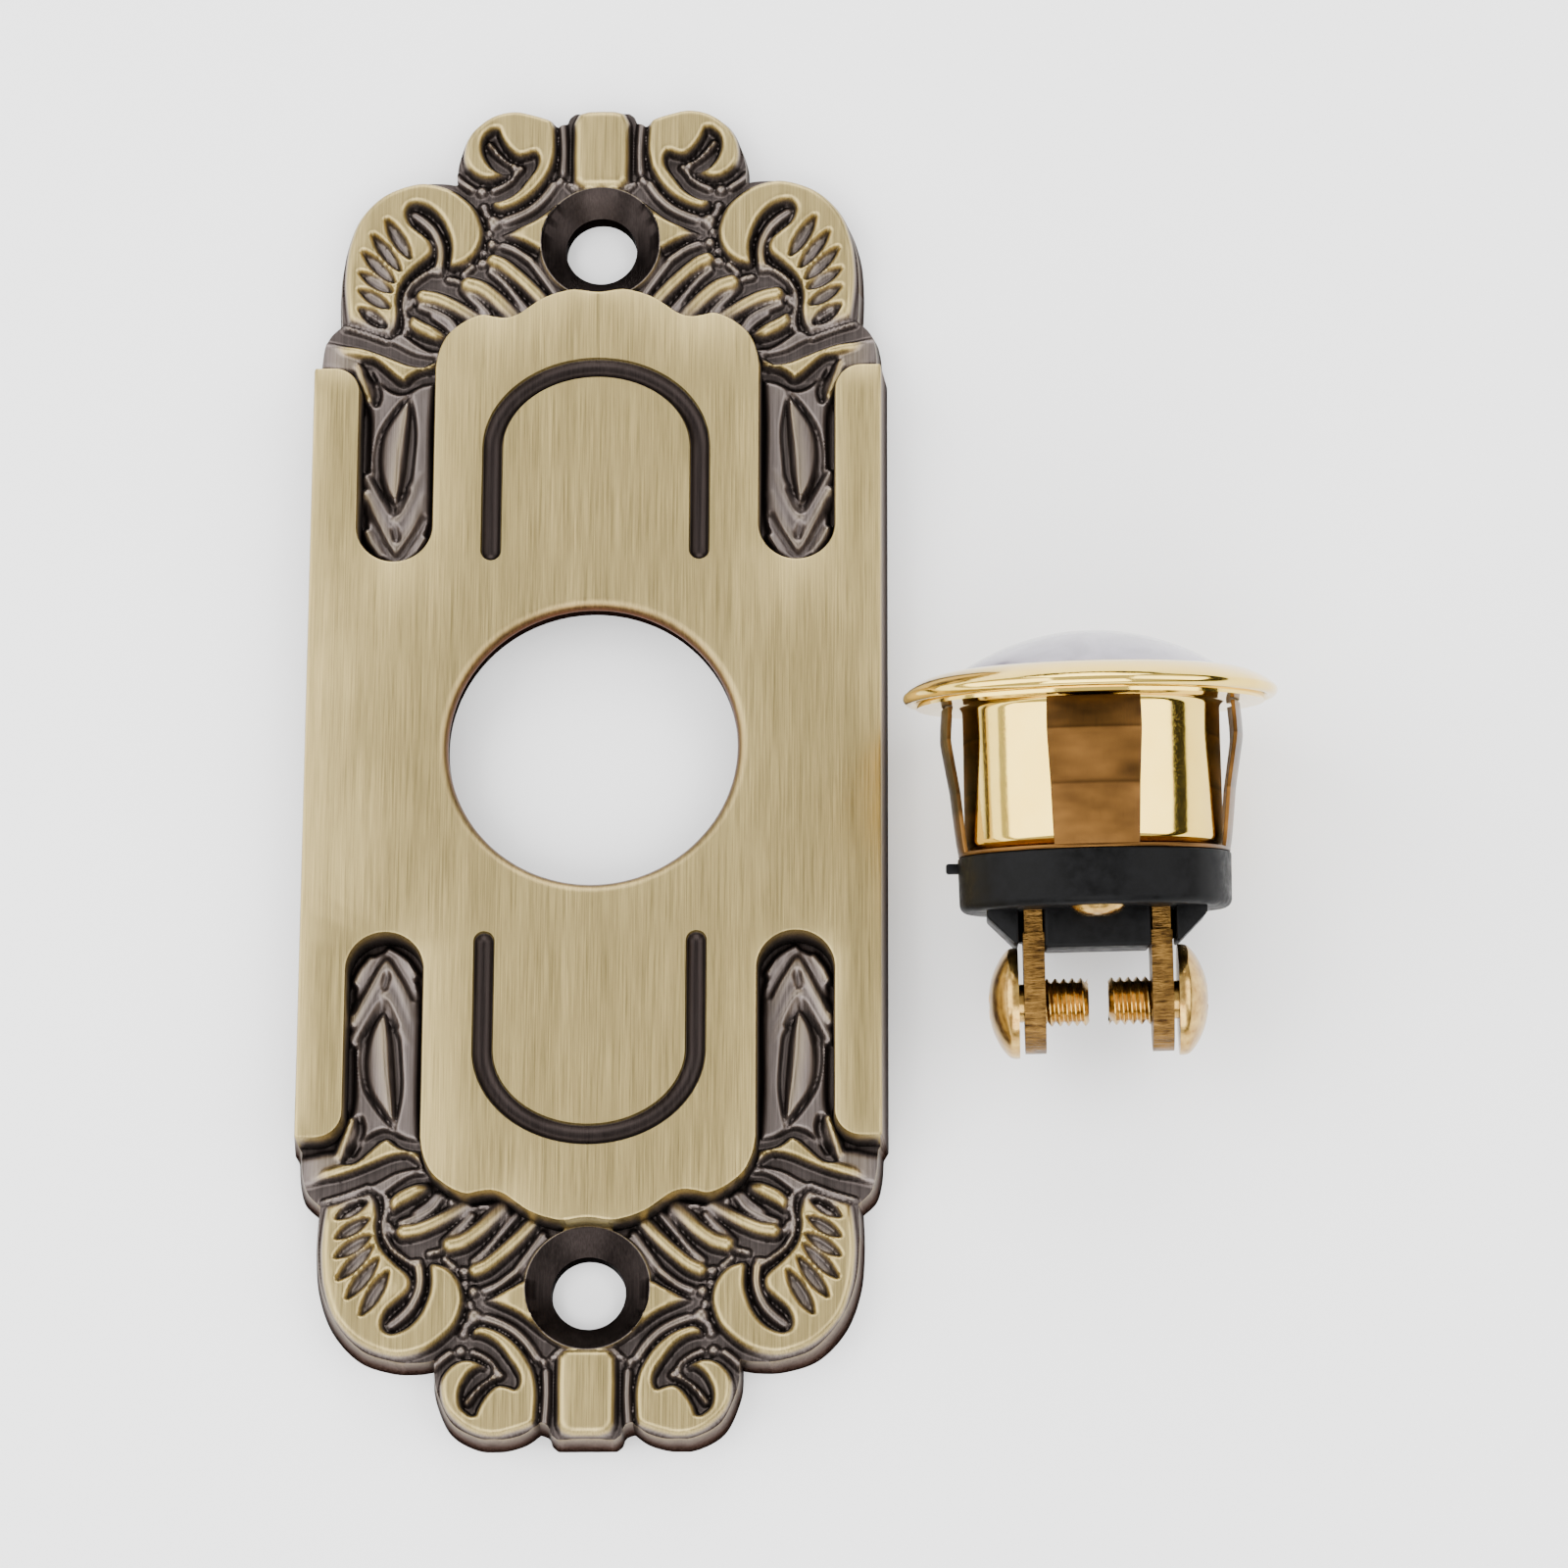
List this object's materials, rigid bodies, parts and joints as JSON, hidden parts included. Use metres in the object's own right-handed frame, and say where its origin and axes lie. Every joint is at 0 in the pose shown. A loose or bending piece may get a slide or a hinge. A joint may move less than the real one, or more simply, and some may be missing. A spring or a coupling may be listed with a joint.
{
  "type": "doorbell push button",
  "caption": "Long cast face plate with carved scroll ends and a round central hole, with its snap-in button unit of domed cap, flanged barrel and screw terminals lying beside it.",
  "frame": {"origin": "centre of the face plate's central hole, on its back face", "axes": "+Y along the plate towards its top, +Z out of its decorated face; the button unit lies on its side at +X with its cap towards +Y"},
  "size_m": [0.0827, 0.12, 0.0304],
  "materials": {
    "face_plate": "cast brass, brushed on its high faces, dark in its hollows",
    "bezel_ring": "polished",
    "barrel": "polished",
    "snap_clip": "rolled spring bronze",
    "base_moulding": "moulded, satin",
    "terminal_left": "sheared, raw",
    "terminal_right": "sheared, raw",
    "terminal_screw_left": "turned, bright",
    "terminal_screw_right": "turned, bright",
    "rivet_front": "headed",
    "rivet_back": "headed",
    "push_cap": "moulded, pearly and translucent",
    "contact_disc": "stamped",
    "contact_pin": "headed",
    "return_spring": "drawn wire"
  },
  "bodies": {
    "frame": {"face_plate": "face_plate", "bezel_ring": "bezel_ring", "barrel": "barrel", "snap_clip": "snap_clip", "base_moulding": "base_moulding", "terminal_left": "terminal_left", "terminal_right": "terminal_right", "terminal_screw_left": "terminal_screw_left", "terminal_screw_right": "terminal_screw_right", "rivet_front": "rivet_front", "rivet_back": "rivet_back", "return_spring": "return_spring"},
    "button": {"push_cap": "push_cap", "contact_disc": "contact_disc", "contact_pin": "contact_pin"}
  },
  "joints": [
    {"name": "button_press", "type": "slide", "parent": "frame", "child": "button", "axis": [0.0195, -0.9708, -0.2392], "range_m": [0, 0.001], "stiffness_N_per_m": 1200, "springref_m": -0.0012, "deforming": ["return_spring"]}
  ]
}
